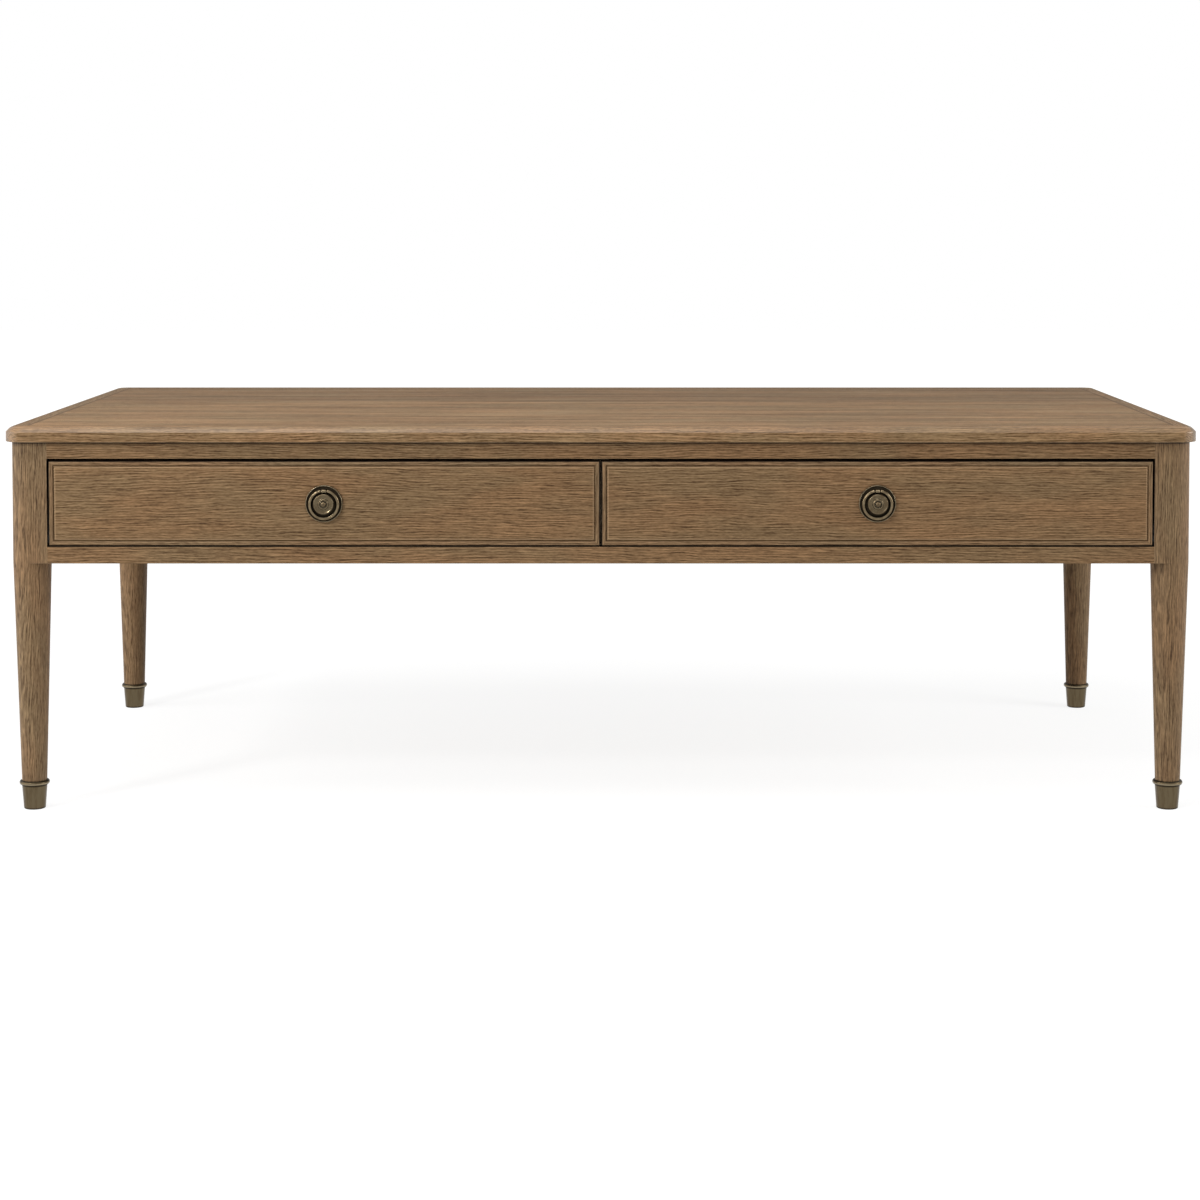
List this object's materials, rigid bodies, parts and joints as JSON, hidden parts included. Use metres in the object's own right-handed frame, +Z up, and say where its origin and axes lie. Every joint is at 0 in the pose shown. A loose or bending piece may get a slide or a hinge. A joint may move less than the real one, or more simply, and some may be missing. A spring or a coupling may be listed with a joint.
{
  "type": "storage coffee table",
  "caption": "Low oak coffee table with a moulded top, turned legs in brass ferrules and side-by-side sliding drawers with brass ring pulls.",
  "frame": {"origin": "on the floor below the middle of the top", "axes": "+X to the right along the front, +Y towards the back, +Z up; the drawers open towards -Y"},
  "size_m": [1.4, 0.7074, 0.455],
  "materials": {
    "aged_brass": "antique brass with dark patina in the hollows",
    "drawer_oak": "pale unstained oak, sanded",
    "frame_oak": "matt lacquered brushed oak",
    "runner_beech": "plain waxed hardwood",
    "screw_steel": "zinc plated",
    "top_oak": "matt lacquered brushed oak, grain along the length"
  },
  "bodies": {
    "carcass": {"back_apron": "frame_oak", "centre_divider": "frame_oak", "ferrule_back_left": "aged_brass", "ferrule_back_right": "aged_brass", "ferrule_front_left": "aged_brass", "ferrule_front_right": "aged_brass", "front_bottom_rail": "frame_oak", "front_top_rail": "frame_oak", "leg_back_left": "frame_oak", "leg_back_right": "frame_oak", "leg_front_left": "frame_oak", "leg_front_right": "frame_oak", "runner_left_inner": "runner_beech", "runner_left_outer": "runner_beech", "runner_packer_left": "runner_beech", "runner_packer_right": "runner_beech", "runner_right_inner": "runner_beech", "runner_right_outer": "runner_beech", "runner_screws": "screw_steel", "side_apron_left": "frame_oak", "side_apron_right": "frame_oak", "top_buttons": "frame_oak", "top_lipping_back": "top_oak", "top_lipping_front": "top_oak", "top_lipping_left": "top_oak", "top_lipping_right": "top_oak", "top_panel": "top_oak", "top_screws": "screw_steel"},
    "drawer_left": {"drawer_left_back": "drawer_oak", "drawer_left_beads": "frame_oak", "drawer_left_bottom": "drawer_oak", "drawer_left_front": "frame_oak", "drawer_left_inner_side": "drawer_oak", "drawer_left_outer_side": "drawer_oak", "pull_left_boss": "aged_brass", "pull_left_plate": "aged_brass", "pull_left_screw": "screw_steel"},
    "drawer_right": {"drawer_right_back": "drawer_oak", "drawer_right_beads": "frame_oak", "drawer_right_bottom": "drawer_oak", "drawer_right_front": "frame_oak", "drawer_right_inner_side": "drawer_oak", "drawer_right_outer_side": "drawer_oak", "pull_right_boss": "aged_brass", "pull_right_plate": "aged_brass", "pull_right_screw": "screw_steel"},
    "ring_left": {"pull_left_ring": "aged_brass"},
    "ring_right": {"pull_right_ring": "aged_brass"}
  },
  "joints": [
    {"name": "drawer_left_slide", "type": "slide", "parent": "carcass", "child": "drawer_left", "axis": [0, -1, 0], "range_m": [0, 0.4]},
    {"name": "drawer_right_slide", "type": "slide", "parent": "carcass", "child": "drawer_right", "axis": [0, -1, 0], "range_m": [0, 0.4]},
    {"name": "ring_left_swing", "type": "hinge", "parent": "drawer_left", "child": "ring_left", "pos_m": [-0.32427, -0.3485, 0.37911], "axis": [-1, 0, 0], "range_deg": [0, 110]},
    {"name": "ring_right_swing", "type": "hinge", "parent": "drawer_right", "child": "ring_right", "pos_m": [0.32427, -0.3485, 0.37911], "axis": [-1, 0, 0], "range_deg": [0, 110]}
  ]
}
